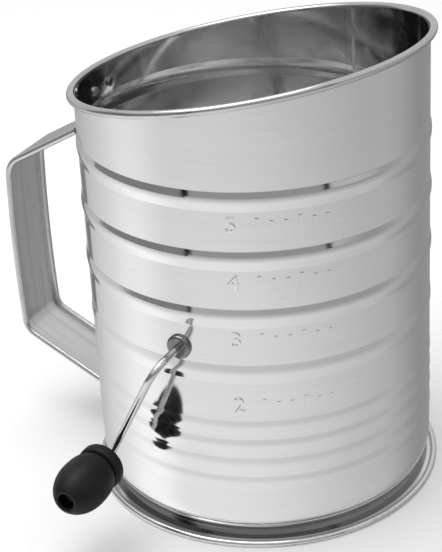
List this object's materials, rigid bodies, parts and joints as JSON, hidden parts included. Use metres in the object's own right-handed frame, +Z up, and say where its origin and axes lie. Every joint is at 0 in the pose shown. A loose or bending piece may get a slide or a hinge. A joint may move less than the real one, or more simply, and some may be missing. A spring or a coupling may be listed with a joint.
{
  "type": "flour sifter",
  "caption": "Hand-cranked kitchen flour sifter: beaded metal can with a slanted rolled rim, strap handle, bowed screen, wire agitator and a crank with a free-turning round knob.",
  "frame": {"origin": "on the can's axis at the plane the foot ring stands on", "axes": "+Z up the can's axis, -X towards the strap handle, -Y towards the crank and knob"},
  "size_m": [0.1617, 0.1614, 0.1698],
  "materials": {
    "can_steel": "bright rolled tinplate, semi-gloss",
    "foot_steel": "bright rolled tinplate, semi-gloss",
    "screen_wire": "woven wire cloth",
    "ring_steel": "plain sheet steel",
    "bush_steel": "dark plated eyelet, satin",
    "strap_steel": "bright sheet steel, satin inside",
    "rivet_steel": "plated rivet",
    "crank_steel": "bright drawn wire",
    "agitator_steel": "bright drawn wire",
    "collar_steel": "crimped sleeve",
    "knob_black": "black satin plastic",
    "retainer_steel": "blackened push-on cap"
  },
  "bodies": {
    "can": {"body_shell": "can_steel", "foot_ring": "foot_steel", "screen_mesh": "screen_wire", "screen_ring_lower": "ring_steel", "screen_ring_upper": "ring_steel", "front_bush": "bush_steel", "rear_bush": "bush_steel", "handle_strap": "strap_steel", "handle_rivet_upper_a": "rivet_steel", "handle_rivet_upper_b": "rivet_steel", "handle_rivet_lower_a": "rivet_steel", "handle_rivet_lower_b": "rivet_steel"},
    "crank": {"crank_rod": "crank_steel", "rear_cap": "collar_steel", "agitator_collar_front": "collar_steel", "agitator_collar_rear": "collar_steel", "agitator_wire_1": "agitator_steel", "agitator_wire_2": "agitator_steel", "agitator_wire_3": "agitator_steel", "agitator_wire_4": "agitator_steel", "knob_retainer": "retainer_steel"},
    "grip": {"knob": "knob_black"}
  },
  "joints": [
    {"name": "crank_spin", "type": "hinge", "parent": "can", "child": "crank", "pos_m": [0, -0.0605, 0.0764], "axis": [0, -1, 0], "continuous": true},
    {"name": "knob_spin", "type": "hinge", "parent": "crank", "child": "grip", "pos_m": [-0.02726, -0.071, 0.02956], "axis": [0, -1, 0], "continuous": true}
  ]
}
